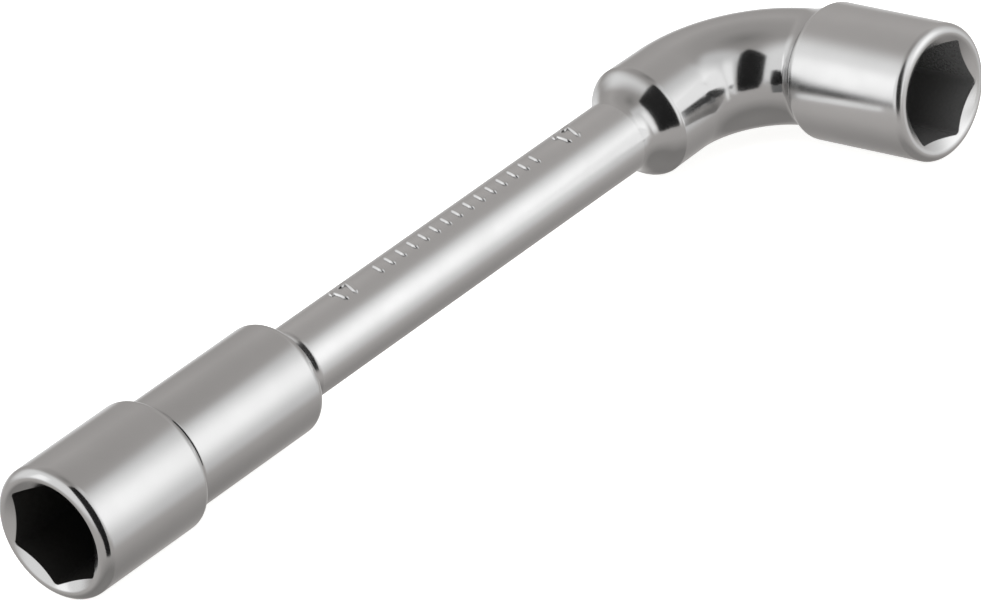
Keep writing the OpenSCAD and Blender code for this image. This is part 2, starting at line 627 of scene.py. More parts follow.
def lathe_tree() -> bpy.types.NodeTree:
    """Make the tree that turns a half section about its axis, with the hexagon's rule for its wall.

    Returns:
        The tree, made once.
    """
    name = "turned_section"
    if name in bpy.data.node_groups:
        return bpy.data.node_groups[name]
    tree, given = open_tree(name, {
        "Geometry": ("Section",), "Int": ("Segments",), "Material": ("Outside", "Inside"),
        "Float": ("Flat Radius", "Corner Radius", "Mouth Radius", "Slope")})
    section = given["Section"]
    rows = add(tree, "GeometryNodeAttributeDomainSize", {}, {"Geometry": section})
    grid, row, angle = round_grid(tree, rows, given["Segments"])
    spot = add(tree, "GeometryNodeInputPosition", {}, {})
    point = add(tree, "GeometryNodeSampleIndex", {"data_type": "FLOAT_VECTOR"}, {
        "Geometry": section, "Value": spot, "Index": row})
    parts = add(tree, "ShaderNodeSeparateXYZ", {}, {"Vector": point}).node.outputs
    flags = {}
    for label in ("scallop", "inside"):
        value = add(tree, "GeometryNodeInputNamedAttribute", {"data_type": "FLOAT"}, {"Name": label})
        flags[label] = add(tree, "GeometryNodeSampleIndex", {"data_type": "FLOAT"}, {
            "Geometry": section, "Value": value, "Index": row})
    # The wall is flat on each of the six sides, and a circle cuts its corners back
    side = add(tree, "ShaderNodeMath", {"operation": "MODULO"}, {0: angle, 1: math.pi / 3})
    lean = add(tree, "ShaderNodeMath", {"operation": "SUBTRACT"}, {0: side, 1: math.pi / 6})
    cosine = add(tree, "ShaderNodeMath", {"operation": "COSINE"}, {0: lean})
    sharp = add(tree, "ShaderNodeMath", {"operation": "DIVIDE"}, {0: given["Flat Radius"], 1: cosine})
    wall = add(tree, "ShaderNodeMath", {"operation": "MINIMUM"}, {0: sharp, 1: given["Corner Radius"]})
    radius = add(tree, "ShaderNodeMath", {"operation": "MULTIPLY_ADD"}, {
        0: parts["Z"], 1: wall, 2: parts["Y"]})
    # The wall meets the countersink deeper on the flats than in the corners, which makes the scallops
    gap = add(tree, "ShaderNodeMath", {"operation": "SUBTRACT"}, {0: given["Mouth Radius"], 1: wall})
    depth = add(tree, "ShaderNodeMath", {"operation": "MULTIPLY"}, {0: gap, 1: given["Slope"]})
    along = add(tree, "ShaderNodeMath", {"operation": "MULTIPLY_ADD"}, {
        0: depth, 1: flags["scallop"], 2: parts["X"]})
    out_y, out_z = around(tree, radius, angle)
    place = add(tree, "ShaderNodeCombineXYZ", {}, {"X": along, "Y": out_y, "Z": out_z})
    turned = add(tree, "GeometryNodeSetPosition", {}, {"Geometry": grid, "Position": place})
    whole = add(tree, "GeometryNodeRealizeInstances", {}, {"Geometry": turned})
    dressed = add(tree, "GeometryNodeSetMaterial", {}, {"Geometry": whole, "Material": given["Outside"]})
    wanted = add(tree, "FunctionNodeCompare", {"data_type": "FLOAT", "operation": "GREATER_THAN"}, {
        "A": flags["inside"], "B": INSIDE_LEVEL})
    lined = add(tree, "GeometryNodeSetMaterial", {}, {
        "Geometry": dressed, "Selection": wanted, "Material": given["Inside"]})
    add(tree, "NodeGroupOutput", {}, {"Result": lined})
    return tree


def bend_tree() -> bpy.types.NodeTree:
    """Make the tree that carries a round bar along a tapered run and round a quarter bend.

    Returns:
        The tree.
    """
    tree, given = open_tree("bent_bar", {
        "Geometry": ("Source",), "Int": ("Run Steps", "Bend Steps", "Segments"), "Material": ("Material",),
        "Float": ("Run Length", "Bend Radius", "Rim Radius", "Bar Radius", "Fillet Rise", "Fillet Reach")})
    steps = add(tree, "ShaderNodeMath", {"operation": "ADD"}, {
        0: given["Run Steps"], 1: given["Bend Steps"]})
    rows = add(tree, "ShaderNodeMath", {"operation": "ADD"}, {0: steps, 1: 1.0})
    grid, row, angle = round_grid(tree, rows, given["Segments"])
    run = add(tree, "ShaderNodeMath", {"operation": "DIVIDE", "use_clamp": True}, {
        0: row, 1: given["Run Steps"]})
    past = add(tree, "ShaderNodeMath", {"operation": "SUBTRACT"}, {0: row, 1: given["Run Steps"]})
    swing = add(tree, "ShaderNodeMath", {"operation": "DIVIDE", "use_clamp": True}, {
        0: past, 1: given["Bend Steps"]})
    turn = add(tree, "ShaderNodeMath", {"operation": "MULTIPLY"}, {0: swing, 1: math.pi / 2})
    taper = add(tree, "ShaderNodeMath", {"operation": "SUBTRACT"}, {
        0: given["Bar Radius"], 1: given["Rim Radius"]})
    plain = add(tree, "ShaderNodeMath", {"operation": "MULTIPLY_ADD"}, {
        0: run, 1: taper, 2: given["Rim Radius"]})
    # The fillet swells towards the angled socket and is cut off half way by the end of the bend
    unswung = add(tree, "ShaderNodeMath", {"operation": "SUBTRACT"}, {0: math.pi / 2, 1: turn})
    to_end = add(tree, "ShaderNodeMath", {"operation": "MULTIPLY"}, {0: unswung, 1: given["Bend Radius"]})
    beyond = add(tree, "ShaderNodeMath", {"operation": "MULTIPLY"}, {0: given["Fillet Reach"], 1: -1.0})
    fillet = add(tree, "ShaderNodeMapRange", {"interpolation_type": "SMOOTHSTEP"}, {
        "Value": to_end, "From Min": given["Fillet Reach"], "From Max": beyond,
        "To Min": 0.0, "To Max": given["Fillet Rise"]})
    radius = add(tree, "ShaderNodeMath", {"operation": "ADD"}, {0: plain, 1: fillet})
    out, height = around(tree, radius, angle)
    reach = add(tree, "ShaderNodeMath", {"operation": "ADD"}, {0: out, 1: given["Bend Radius"]})
    swept_y, swept_x = around(tree, reach, turn)
    left = add(tree, "ShaderNodeMath", {"operation": "SUBTRACT"}, {0: 1.0, 1: run})
    back = add(tree, "ShaderNodeMath", {"operation": "MULTIPLY"}, {0: left, 1: given["Run Length"]})
    base = add(tree, "ShaderNodeMath", {"operation": "ADD"}, {0: back, 1: given["Bend Radius"]})
    at_x = add(tree, "ShaderNodeMath", {"operation": "SUBTRACT"}, {0: swept_x, 1: base})
    at_y = add(tree, "ShaderNodeMath", {"operation": "SUBTRACT"}, {0: swept_y, 1: given["Bend Radius"]})
    place = add(tree, "ShaderNodeCombineXYZ", {}, {"X": at_x, "Y": at_y, "Z": height})
    bent = add(tree, "GeometryNodeSetPosition", {}, {"Geometry": grid, "Position": place})
    closed = add(tree, "GeometryNodeMergeByDistance", {}, {"Geometry": bent, "Distance": MERGE * MM})
    whole = add(tree, "GeometryNodeRealizeInstances", {}, {"Geometry": closed})
    dressed = add(tree, "GeometryNodeSetMaterial", {}, {"Geometry": whole, "Material": given["Material"]})
    add(tree, "NodeGroupOutput", {}, {"Result": dressed})
    return tree


def marks_tree() -> bpy.types.NodeTree:
    """Make the tree that raises figure strokes and a row of plain bars on a round bar.

    Returns:
        The tree.
    """
    tree, given = open_tree("raised_marks", {
        "Geometry": ("Strokes",), "Int": ("Bars", "Cuts", "Edge Steps"), "Material": ("Material",),
        "Float": ("Pitch", "Row Start", "Row Middle", "Row Height", "Row Slant", "Stroke", "Foot", "Edge",
                  "Run Out", "Rise", "Sunk", "Bar Radius")})
    lines = add(tree, "GeometryNodeMeshToCurve", {}, {"Mesh": given["Strokes"]})
    lean = add(tree, "ShaderNodeMath", {"operation": "MULTIPLY"}, {0: given["Row Slant"], 1: 0.5})
    half = add(tree, "ShaderNodeMath", {"operation": "MULTIPLY"}, {0: given["Row Height"], 1: 0.5})
    top = add(tree, "ShaderNodeCombineXYZ", {}, {"X": lean, "Y": half})
    bottom = add(tree, "ShaderNodeVectorMath", {"operation": "SCALE"}, {0: top, "Scale": -1.0})
    bar = add(tree, "GeometryNodeCurvePrimitiveLine", {}, {"Start": bottom, "End": top})
    first = add(tree, "ShaderNodeCombineXYZ", {}, {"X": given["Row Start"], "Y": given["Row Middle"]})
    pitch = add(tree, "ShaderNodeCombineXYZ", {}, {"X": given["Pitch"]})
    row = add(tree, "GeometryNodeMeshLine", {}, {
        "Count": given["Bars"], "Start Location": first, "Offset": pitch})
    bars = add(tree, "GeometryNodeInstanceOnPoints", {}, {"Points": row, "Instance": bar})
    loose = add(tree, "GeometryNodeRealizeInstances", {}, {"Geometry": bars})
    joined = add(tree, "GeometryNodeJoinGeometry", {}, {"Geometry": loose})
    tree.links.new(lines, joined.node.inputs["Geometry"])
    fine = add(tree, "GeometryNodeSubdivideCurve", {}, {"Curve": joined, "Cuts": given["Cuts"]})
    upright = add(tree, "GeometryNodeSetCurveNormal", {"mode": "Z_UP"}, {"Curve": fine})
    # A stroke's section is a wide-footed bank with rounded edges, partly sunk into the bar
    foot = add(tree, "ShaderNodeMath", {"operation": "MULTIPLY"}, {0: given["Stroke"], 1: given["Foot"]})
    depth = add(tree, "ShaderNodeMath", {"operation": "ADD"}, {0: given["Rise"], 1: given["Sunk"]})
    outline = add(tree, "GeometryNodeCurvePrimitiveQuadrilateral", {"mode": "TRAPEZOID"}, {
        "Bottom Width": foot, "Top Width": given["Stroke"], "Height": depth, "Offset": 0.0})
    edge = add(tree, "ShaderNodeMath", {"operation": "MULTIPLY"}, {0: given["Stroke"], 1: given["Edge"]})
    rounded = add(tree, "GeometryNodeFilletCurve", {"mode": "POLY"}, {
        "Curve": outline, "Count": given["Edge Steps"], "Radius": edge, "Limit Radius": True})
    drop = add(tree, "ShaderNodeMath", {"operation": "SUBTRACT"}, {0: given["Rise"], 1: given["Sunk"]})
    shift = add(tree, "ShaderNodeMath", {"operation": "MULTIPLY"}, {0: drop, 1: -0.5})
    raised = add(tree, "ShaderNodeCombineXYZ", {}, {"Y": shift})
    profile = add(tree, "GeometryNodeTransform", {}, {
        "Geometry": rounded, "Translation": raised, "Rotation": (0.0, 0.0, math.pi)})
    # Each stroke runs out over its own width at both ends
    gone = add(tree, "GeometryNodeSplineParameter", {}, {}, "Length")
    length = add(tree, "GeometryNodeSplineLength", {}, {}, "Length")
    left = add(tree, "ShaderNodeMath", {"operation": "SUBTRACT"}, {0: length, 1: gone})
    to_end = add(tree, "ShaderNodeMath", {"operation": "MINIMUM"}, {0: gone, 1: left})
    fade = add(tree, "ShaderNodeMapRange", {}, {
        "Value": to_end, "From Min": 0.0, "From Max": given["Stroke"],
        "To Min": given["Run Out"], "To Max": 1.0})
    flat = add(tree, "GeometryNodeCurveToMesh", {}, {
        "Curve": upright, "Profile Curve": profile, "Scale": fade, "Fill Caps": True})
    # The flat marks are wrapped round the bar
    spot = add(tree, "GeometryNodeInputPosition", {}, {})
    parts = add(tree, "ShaderNodeSeparateXYZ", {}, {"Vector": spot}).node.outputs
    angle = add(tree, "ShaderNodeMath", {"operation": "DIVIDE"}, {0: parts["Y"], 1: given["Bar Radius"]})
    radius = add(tree, "ShaderNodeMath", {"operation": "ADD"}, {0: parts["Z"], 1: given["Bar Radius"]})
    out_z, out_y = around(tree, radius, angle)
    place = add(tree, "ShaderNodeCombineXYZ", {}, {"X": parts["X"], "Y": out_y, "Z": out_z})
    wrapped = add(tree, "GeometryNodeSetPosition", {}, {"Geometry": flat, "Position": place})
    whole = add(tree, "GeometryNodeRealizeInstances", {}, {"Geometry": wrapped})
    dressed = add(tree, "GeometryNodeSetMaterial", {}, {"Geometry": whole, "Material": given["Material"]})
    add(tree, "NodeGroupOutput", {}, {"Result": dressed})
    return tree


def close_up(piece: bpy.types.Object) -> None:
    """Close the seams, turn every face outwards and mark the sharp edges.

    Args:
        piece: a piece without open sides.
    """
    shape = bmesh.new()
    shape.from_mesh(piece.data)
    bmesh.ops.remove_doubles(shape, verts=shape.verts, dist=MERGE * MM)
    bmesh.ops.recalc_face_normals(shape, faces=shape.faces)
    for face in shape.faces:
        face.smooth = True
    shape.to_mesh(piece.data)
    shape.free()
    piece.data.set_sharp_from_angle(angle=SHARP_EDGE)


@dataclass
class Dressed:
    """A finished piece and the CAD nodes that it stands for."""

    piece: bpy.types.Object
    nodes: tuple[str, ...] = ()

    def attach(self) -> None:
        """Ride on the one body, stand for the nodes and log the piece's faces."""
        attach(self.piece, BODY)
        if self.nodes:
            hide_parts(*self.nodes)
        LOG.info("%s: %d faces", self.piece.name, len(self.piece.data.polygons))


class Assembly:
    """A sub-assembly, whose fields are its pieces in the order that they are built in."""

    def build(self, layout: Layout) -> list[Dressed]:
        """Build every piece.

        Args:
            layout: where the arms lie.

        Returns:
            The finished pieces.
        """
        return [getattr(self, part.name).build(layout) for part in fields(self)]


@dataclass(kw_only=True)
class Turned:
    """A piece that is turned about one of the arms.

    Attributes:
        piece: name of the finished piece.
        node: CAD node that it stands for.
        arm: arm that carries it.
        start: distance of its zero from the arm's mouth.
        turn: its turn about the arm, in degrees.
        segments: steps round the arm.
        hexagon: the hexagon that the marked points of its section follow.
        lining: finish of the walls that a nut or a stud touches.
        finish: finish of the other walls.
    """

    piece: str
    node: str
    arm: Arm = Arm.LONG
    start: float = 0.0
    turn: float = 0.0
    segments: int = 192
    hexagon: Hexagon = Hexagon()
    lining: BroachedSteel = BroachedSteel()
    finish: SatinChrome = SatinChrome()

    def section(self) -> list[SectionPoint]:
        """Draw the half section, back to its first point for a ring or between two poles."""
        raise NotImplementedError

    def build(self, layout: Layout) -> Dressed:
        """Turn the section and set it on its arm.

        Args:
            layout: where the arms lie.

        Returns:
            The finished piece.
        """
        points = self.section()
        source = bpy.data.meshes.new(self.piece + "_section")
        source.from_pydata([(p.along * MM, p.radius * MM, p.follow) for p in points], [], [])
        for label in ("scallop", "inside"):
            column = source.attributes.new(label, "FLOAT", "POINT")
            column.data.foreach_set("value", [getattr(p, label) for p in points])
        made = run_tree(lathe_tree(), self.piece, source, {
            "Segments": self.segments, "Slope": self.hexagon.slope,
            "Flat Radius": self.hexagon.flat_r * MM, "Corner Radius": self.hexagon.cap_r * MM,
            "Mouth Radius": self.hexagon.mouth_r * MM,
            "Outside": self.finish.material(), "Inside": self.lining.material()})
        made.data.transform(layout.place(self.arm, self.start, self.turn))
        close_up(made)
        return Dressed(made, (self.node,))


@dataclass(kw_only=True)
class Socket(Turned):
    """A socket section: rounded lip, countersunk hexagon and a seat at its back.

    Attributes:
        radius: outer radius.
        length: length along the arm.
        hex_depth: depth at which a nut stops.
        back_r: rounding of the step behind the section.
        lip_r: rounding of the lip.
        lip_end: angle at which the lip's rounding gives way to its crest, in degrees.
        cone_r: radius at which the crest gives way to the countersink.
        edge: width of the rounded edge between the countersink and the hexagon.
        edge_depth: depth of that edge along the hexagon's wall.
        seat_r: radius of the seat at the back.
        back_steps: steps of the rounding behind the section.
        lip_steps: steps of the lip.
        crest_steps: steps of the crest.
        edge_steps: steps of the rounded edge.
    """

    radius: float
    length: float
    hex_depth: float
    back_r: float
    lip_r: float = 1.6
    lip_end: float = 70.0
    cone_r: float = 10.1
    edge: float = 0.13
    edge_depth: float = 0.15
    seat_r: float = 9.3
    back_steps: int = 10
    lip_steps: int = 14
    crest_steps: int = 8
    edge_steps: int = 4
    segments: int = 288

    def section(self) -> list[SectionPoint]:
        """Draw the half section, from the back seat round the outside to the hexagon's floor.

        Returns:
            The points of a closed loop.
        """
        cone = self.hexagon.slope
        mouth = self.hexagon.mouth_r
        seat = SectionPoint(self.length, self.seat_r)
        lip = arc(self.lip_r, self.radius - self.lip_r, self.lip_r, 0, self.lip_end, self.lip_steps)
        back_along = self.length - self.back_r
        # The crest's corner lies where the lip's last tangent meets the countersink
        lean = math.tan(math.radians(90 - self.lip_end))
        corner_r = (mouth * cone - lip[-1].along + lip[-1].radius * lean) / (cone + lean)
        crest = SectionPoint((mouth - corner_r) * cone, corner_r)
        inner = SectionPoint((mouth - self.cone_r) * cone, self.cone_r)
        # The last two points of the rounded edge belong to the wall
        edge = blend(
            SectionPoint(-self.edge * cone, self.edge), SectionPoint(0, 0),
            SectionPoint(self.edge_depth, 0), self.edge_steps)
        return [
            seat,
            *arc(back_along, self.radius - self.back_r, self.back_r, -90, 0, self.back_steps),
            *lip,
            *blend(lip[-1], crest, inner, self.crest_steps)[1:],
            *(replace(p, follow=1, scallop=1) for p in edge[:-2]),
            *(replace(p, follow=1, scallop=1, inside=1) for p in edge[-2:]),
            SectionPoint(self.hex_depth, 0, follow=1, inside=1),
            SectionPoint(self.hex_depth, self.seat_r, inside=1),
            seat,
        ]


@dataclass(kw_only=True)
class Barrel(Turned):
    """The slimmer sleeve behind the straight socket, hollow for the end of a stud.

    Attributes:
        length: length behind the socket.
        radius: outer radius.
        spigot_r: radius of the spigot in the socket.
        spigot_len: length of that spigot.
        bore_r: radius of the bore for a stud.
        pin_hole_r: radius of the hole for the shank's pin.
        pin_len: depth of that hole.
        edge_r: rounding of the rear edge.
        edge_steps: steps of that rounding.
        entry: bevel of the bore's mouth.
        relief_depth: depth of the shallow groove behind the socket.
        relief_start: length of the groove's floor.
        relief_len: length over which the groove runs out.
    """

    piece: str = "straight_barrel_shell"
    node: str = "straight_barrel"
    start: float = 26.5
    length: float = 32.3
    radius: float = 10.55
    spigot_r: float = 9.25
    spigot_len: float = 10.5
    bore_r: float = 6.25
    pin_hole_r: float = 5.55
    pin_len: float = 14.0
    edge_r: float = 2.2
    edge_steps: int = 14
    entry: float = 0.5
    relief_depth: float = 0.45
    relief_start: float = 0.15
    relief_len: float = 1.0

    def section(self) -> list[SectionPoint]:
        """Draw the half section of the sleeve.

        Returns:
            The points of a closed loop.
        """
        front = -self.spigot_len
        stop = self.length - self.pin_len
        neck = self.radius - self.relief_depth
        edge_along = self.length - self.edge_r
        mouth = SectionPoint(front + self.entry, self.bore_r, inside=1)
        return [
            mouth,
            SectionPoint(front, self.bore_r + self.entry, inside=1),
            SectionPoint(front, self.spigot_r, inside=1),
            SectionPoint(0, self.spigot_r),
            SectionPoint(0, neck),
            *swell(self.relief_start, self.relief_len, neck, self.radius),
            *arc(edge_along, self.radius - self.edge_r, self.edge_r, 0, -90, self.edge_steps),
            SectionPoint(self.length, self.pin_hole_r),
            SectionPoint(stop, self.pin_hole_r, inside=1),
            SectionPoint(stop, self.bore_r, inside=1),
            mouth,
        ]


@dataclass
class StraightHead(Assembly):
    """The straight end: a socket section and the sleeve behind it."""

    socket: Socket = field(default_factory=lambda: Socket(
        piece="straight_socket_shell", node="straight_socket", turn=9.5, radius=12.4016, length=26.5,
        hex_depth=16.0, back_r=1.7, lip_r=2.15))
    barrel: Barrel = field(default_factory=Barrel)


@dataclass(kw_only=True)
class Shank(Turned):
    """The round bar with a pin at each end and a shallow groove beside the sleeve.

    Attributes:
        length: visible length.
        radius: radius of the bar.
        front_pin_r: radius of the pin in the sleeve.
        front_pin_len: length of that pin.
        rear_pin_r: radius of the pin in the collar and the elbow.
        rear_pin_len: length of that pin.
        pin_edge: bevel of both pins.
        relief_depth: depth of the groove.
        relief_start: length of the groove's floor.
        relief_len: length over which the groove runs out.
    """

    piece: str = "shank_bar"
    node: str = "shank"
    start: float = 58.8
    finish: SatinChrome = GROUND_CHROME
    length: float = 91.3
    radius: float = 6.9
    front_pin_r: float = 5.5
    front_pin_len: float = 14.0
    rear_pin_r: float = 5.0
    rear_pin_len: float = 21.5
    pin_edge: float = 0.4
    relief_depth: float = 0.8
    relief_start: float = 1.6
    relief_len: float = 1.9

    def section(self) -> list[SectionPoint]:
        """Draw the half section of the bar.

        Returns:
            The points from one pole to the other.
        """
        neck = self.radius - self.relief_depth
        front = -self.front_pin_len
        rear = self.length + self.rear_pin_len
        return [
            SectionPoint(front, 0),
            SectionPoint(front, self.front_pin_r - self.pin_edge),
            SectionPoint(front + self.pin_edge, self.front_pin_r),
            SectionPoint(0, self.front_pin_r),
            SectionPoint(0, neck),
            *swell(self.relief_start, self.relief_len, neck, self.radius),
            SectionPoint(self.length, self.radius),
            SectionPoint(self.length, self.rear_pin_r),
            SectionPoint(rear - self.pin_edge, self.rear_pin_r),
            SectionPoint(rear, self.rear_pin_r - self.pin_edge),
            SectionPoint(rear, 0),
        ]


@dataclass
class Marks:
    """The size in plain raised figures near both ends of the bar, and a row of plain bars between them.

    Attributes:
        bar_r: radius of the bar that carries the marks.
        figures: strokes of the figures one and seven, in shares of a figure's width and height.
        starts: where each pair of figures starts, from the straight mouth.
        across: distance of the marks' middle from the bar's top line, towards +Y.
        height: height of a figure.
        figure_width: width of a figure.
        figure_gap: room between two figures.
        row_start: place of the first plain bar, from the straight mouth.
        row_count: number of plain bars.
        row_pitch: distance between them.
        row_height: height of a plain bar.
        row_slant: lean of a plain bar.
        stroke: width of a stroke at its top.
        foot: width of a stroke's foot, in stroke widths.
        edge: rounding of a stroke's edges, in stroke widths.
        edge_steps: points of that rounding.
        run_out: size of a stroke's ends, as a share of its middle.
        cuts: cuts along each line of a stroke, which let it follow the bar.
        rise: height of the marks above the bar.
        sunk: how far they reach into the bar.
    """

    bar_r: float = 6.9
    figures: tuple[tuple[tuple[float, float], ...], ...] = (
        ((0.1, 0.72), (0.6, 1.0), (0.6, 0.0)),
        ((0.0, 1.0), (1.0, 1.0), (0.3, 0.0)),
    )
    starts: tuple[float, ...] = (74.8, 135.7)
    across: float = -0.6
    height: float = 3.9
    figure_width: float = 2.0
    figure_gap: float = 0.9
    row_start: float = 86.2
    row_count: int = 15
    row_pitch: float = 3.05
    row_height: float = 3.2
    row_slant: float = 0.6
    stroke: float = 0.6
    foot: float = 2.7
    edge: float = 0.3
    edge_steps: int = 3
    run_out: float = 0.2
    cuts: int = 11
    rise: float = 0.42
    sunk: float = 0.12

    def strokes(self) -> bpy.types.Mesh:
        """Draw the figures of every pair as open lines, along the bar and across it.

        Returns:
            A mesh of points and edges on the flat.
        """
        low = self.across - self.height / 2
        points = []
        edges = []
        for start in self.starts:
            for number, line in enumerate(self.figures):
                left = start + number * (self.figure_width + self.figure_gap)
                edges += [(len(points) + i, len(points) + i + 1) for i in range(len(line) - 1)]
                for x, y in line:
                    points.append(((left + x * self.figure_width) * MM, (low + y * self.height) * MM, 0))
        mesh = bpy.data.meshes.new("shank_marks_strokes")
        mesh.from_pydata(points, edges, [])
        return mesh

    def build(self, layout: Layout) -> Dressed:
        """Raise the marks on the bar's top.

        Args:
            layout: where the arms lie.

        Returns:
            The finished marks.
        """
        piece = run_tree(marks_tree(), "shank_marks", self.strokes(), {
            "Bars": self.row_count, "Pitch": self.row_pitch * MM, "Row Start": self.row_start * MM,
            "Row Middle": self.across * MM, "Row Height": self.row_height * MM,
            "Row Slant": self.row_slant * MM, "Stroke": self.stroke * MM, "Foot": self.foot,
            "Edge": self.edge, "Edge Steps": self.edge_steps, "Run Out": self.run_out, "Cuts": self.cuts,
            "Rise": self.rise * MM, "Sunk": self.sunk * MM, "Bar Radius": self.bar_r * MM,
            "Material": GROUND_CHROME.material()})
        piece.data.transform(Matrix.Translation(layout.straight_mouth * MM))
        close_up(piece)
        return Dressed(piece)


@dataclass
class Handle(Assembly):
    """The shank and the marks raised along its top."""

    shank: Shank = field(default_factory=Shank)
    marks: Marks = field(default_factory=Marks)


@dataclass(kw_only=True)
class Collar(Turned):
    """The concave flare that ends in a rounded crest against the elbow.

    Attributes:
        length: length of the flare.
        shank_r: radius at the shank.
        rim_r: radius at the elbow.
        pin_hole_r: radius of the hole for the shank's pin.
        lead: plain length before the flare starts.
        hollow_steps: steps of the concave stretch.
        crest: length of the rounded crest.
        crest_steps: steps of the crest.
    """

    piece: str = "shoulder_collar_flare"
    node: str = "shoulder_collar"
    start: float = 150.1
    length: float = 7.5
    shank_r: float = 6.9
    rim_r: float = 10.5
    pin_hole_r: float = 5.05
    lead: float = 0.5
    hollow_steps: int = 24
    crest: float = 2.0
    crest_steps: int = 16

    def section(self) -> list[SectionPoint]:
        """Draw the half section of the flare.

        The slope grows evenly along the hollow to its steepest and falls to none along the crest, with the
        square root of what is left of it.

        Returns:
            The points of a closed loop.
        """
        hollow = self.length - self.lead - self.crest
        crest_rise = self.crest * 2 / 3
        steepest = (self.rim_r - self.shank_r) / (hollow / 2 + crest_rise)
        flare = []
        for i in range(self.hollow_steps + 1):
            along = hollow * i / self.hollow_steps
            rise = steepest * along ** 2 / (2 * hollow)
            flare.append(SectionPoint(self.lead + along, self.shank_r + rise))
        for i in range(1, self.crest_steps + 1):
            left = (1 - i / self.crest_steps) ** 2
            drop = steepest * crest_rise * left ** 1.5
            flare.append(SectionPoint(self.length - self.crest * left, self.rim_r - drop))
        hole = SectionPoint(0, self.pin_hole_r)
        return [
            hole,
            SectionPoint(0, self.shank_r),
            *flare,
            SectionPoint(self.length, self.pin_hole_r),
            hole,
        ]


@dataclass
class Elbow:
    """The thick quarter bend, with a blind hole for the shank's pin and a bore through its heel.

    Attributes:
        run_len: straight run between the collar and the bend.
        bend_r: radius of the bend, on the bar's centre line.
        rim_r: radius at the collar.
        bar_r: radius of the bend.
        spigot_r: radius of the spigot in the angled socket.
        spigot_len: length of that spigot.
        bore_r: radius of the bore.
        entry: bevel of the bore's mouth in the spigot.
        pin_hole_r: radius of the hole for the shank's pin.
        pin_hole_len: depth of that hole.
        heel_round: rounding of the bore's edge in the heel.
        heel_depth: depth of that rounding, as a share of it.
        heel_rings: rings of faces between the window and the rounding.
        heel_rolls: steps of the rounding.
        fillet_rise: rise of the fillet beside the angled socket, of which the bend shows half.
        fillet_reach: length of that half.
        segments: steps round the bar.
        run_steps: steps along the run.
        bend_steps: steps round the bend.
        window_start: steps from the bend's start to the window that the bore opens into.
        window_turns: steps of the window round the bend.
        window_sides: steps of the window round the bar.
    """

    run_len: float = 8.5
    bend_r: float = 20.0
    rim_r: float = 10.5
    bar_r: float = 10.4
    spigot_r: float = 9.25
    spigot_len: float = 11.8
    bore_r: float = 6.0
    entry: float = 0.5
    pin_hole_r: float = 5.05
    pin_hole_len: float = 14.0
    heel_round: float = 0.6
    heel_depth: float = 1.2
    heel_rings: int = 10
    heel_rolls: int = 7
    fillet_rise: float = 1.8
    fillet_reach: float = 4.0
    segments: int = 192
    run_steps: int = 12
    bend_steps: int = 180
    window_start: int = 30
    window_turns: int = 112
    window_sides: int = 46

    @property
    def turn_step(self) -> float:
        """Angle of one step round the bend, in radians."""
        return math.pi / 2 / self.bend_steps

    @property
    def side_step(self) -> float:
        """Angle of one step round the bar, in radians."""
        return 2 * math.pi / self.segments

    def build(self, layout: Layout) -> Dressed:
        """Build the elbow: skin, ends, pin hole and heel bore in one closed shell.

        Args:
            layout: where the arms lie.

        Returns:
            The finished piece.
        """
        piece = run_tree(bend_tree(), "elbow_bend", bpy.data.meshes.new("elbow_source"), {
            "Run Steps": self.run_steps, "Bend Steps": self.bend_steps, "Segments": self.segments,
            "Run Length": self.run_len * MM, "Bend Radius": self.bend_r * MM,
            "Rim Radius": self.rim_r * MM, "Bar Radius": self.bar_r * MM,
            "Fillet Rise": self.fillet_rise * MM, "Fillet Reach": self.fillet_reach * MM,
            "Material": SatinChrome().material()})
        piece.data.materials.append(BroachedSteel().material())
        shape = bmesh.new()
        shape.from_mesh(piece.data)
        self.open_heel(shape)
        self.close_front(shape)
        shape.to_mesh(piece.data)
        shape.free()
        piece.data.transform(Matrix.Translation(layout.corner * MM))
        close_up(piece)
        return Dressed(piece, ("elbow",))

    def on_bend(self, turn: float, side: float) -> Vector:
        """Give a point of the bend's skin.

        Args:
            turn: angle round the bend from its start, in radians.
            side: angle round the bar from the outside of the bend, in radians.

        Returns:
            The point in millimetres from the axes' corner.
        """
        reach = self.bend_r + self.bar_r * math.cos(side)
        return Vector((
            reach * math.sin(turn) - self.bend_r,
            reach * math.cos(turn) - self.bend_r,
            self.bar_r * math.sin(side),
        ))

    def spot_of(self, point: Vector) -> tuple[float, float]:
        """Find where a point lies on the bend.

        Args:
            point: the point in metres from the axes' corner.

        Returns:
            The angles round the bend and round the bar, in radians.
        """
        x = point.x / MM + self.bend_r
        y = point.y / MM + self.bend_r
        return math.atan2(x, y), math.atan2(point.z / MM, math.hypot(x, y) - self.bend_r)

    def on_outlet(self, angle: float, radius: float) -> tuple[float, float]:
        """Find where a line beside the heel bore's axis comes out of the bend.

        Args:
            angle: angle of the line round the bore, in radians.
            radius: distance of the line from the bore's axis.

        Returns:
            The angles round the bend and round the bar, in radians.
        """
        side = math.asin(radius * math.sin(angle) / self.bar_r)
        reach = self.bend_r + self.bar_r * math.cos(side)
        return math.asin((radius * math.cos(angle) + self.bend_r) / reach), side

    def extend(self, shape: bmesh.types.BMesh, last: list[bmesh.types.BMVert], points: list[Vector],
               wall: Wall) -> list[bmesh.types.BMVert]:
        """Carry a wall on from its last ring to a new ring of as many points.

        Args:
            shape: the mesh that takes them.
            last: vertices of the last ring.
            points: places of the new ring, in millimetres.
            wall: kind of the new faces.

        Returns:
            The vertices of the new ring.
        """
        ring = [shape.verts.new(p * MM) for p in points]
        for i in range(len(ring)):
            j = (i + 1) % len(ring)
            face = shape.faces.new((last[i], last[j], ring[j], ring[i]))
            face.material_index = wall
        return ring

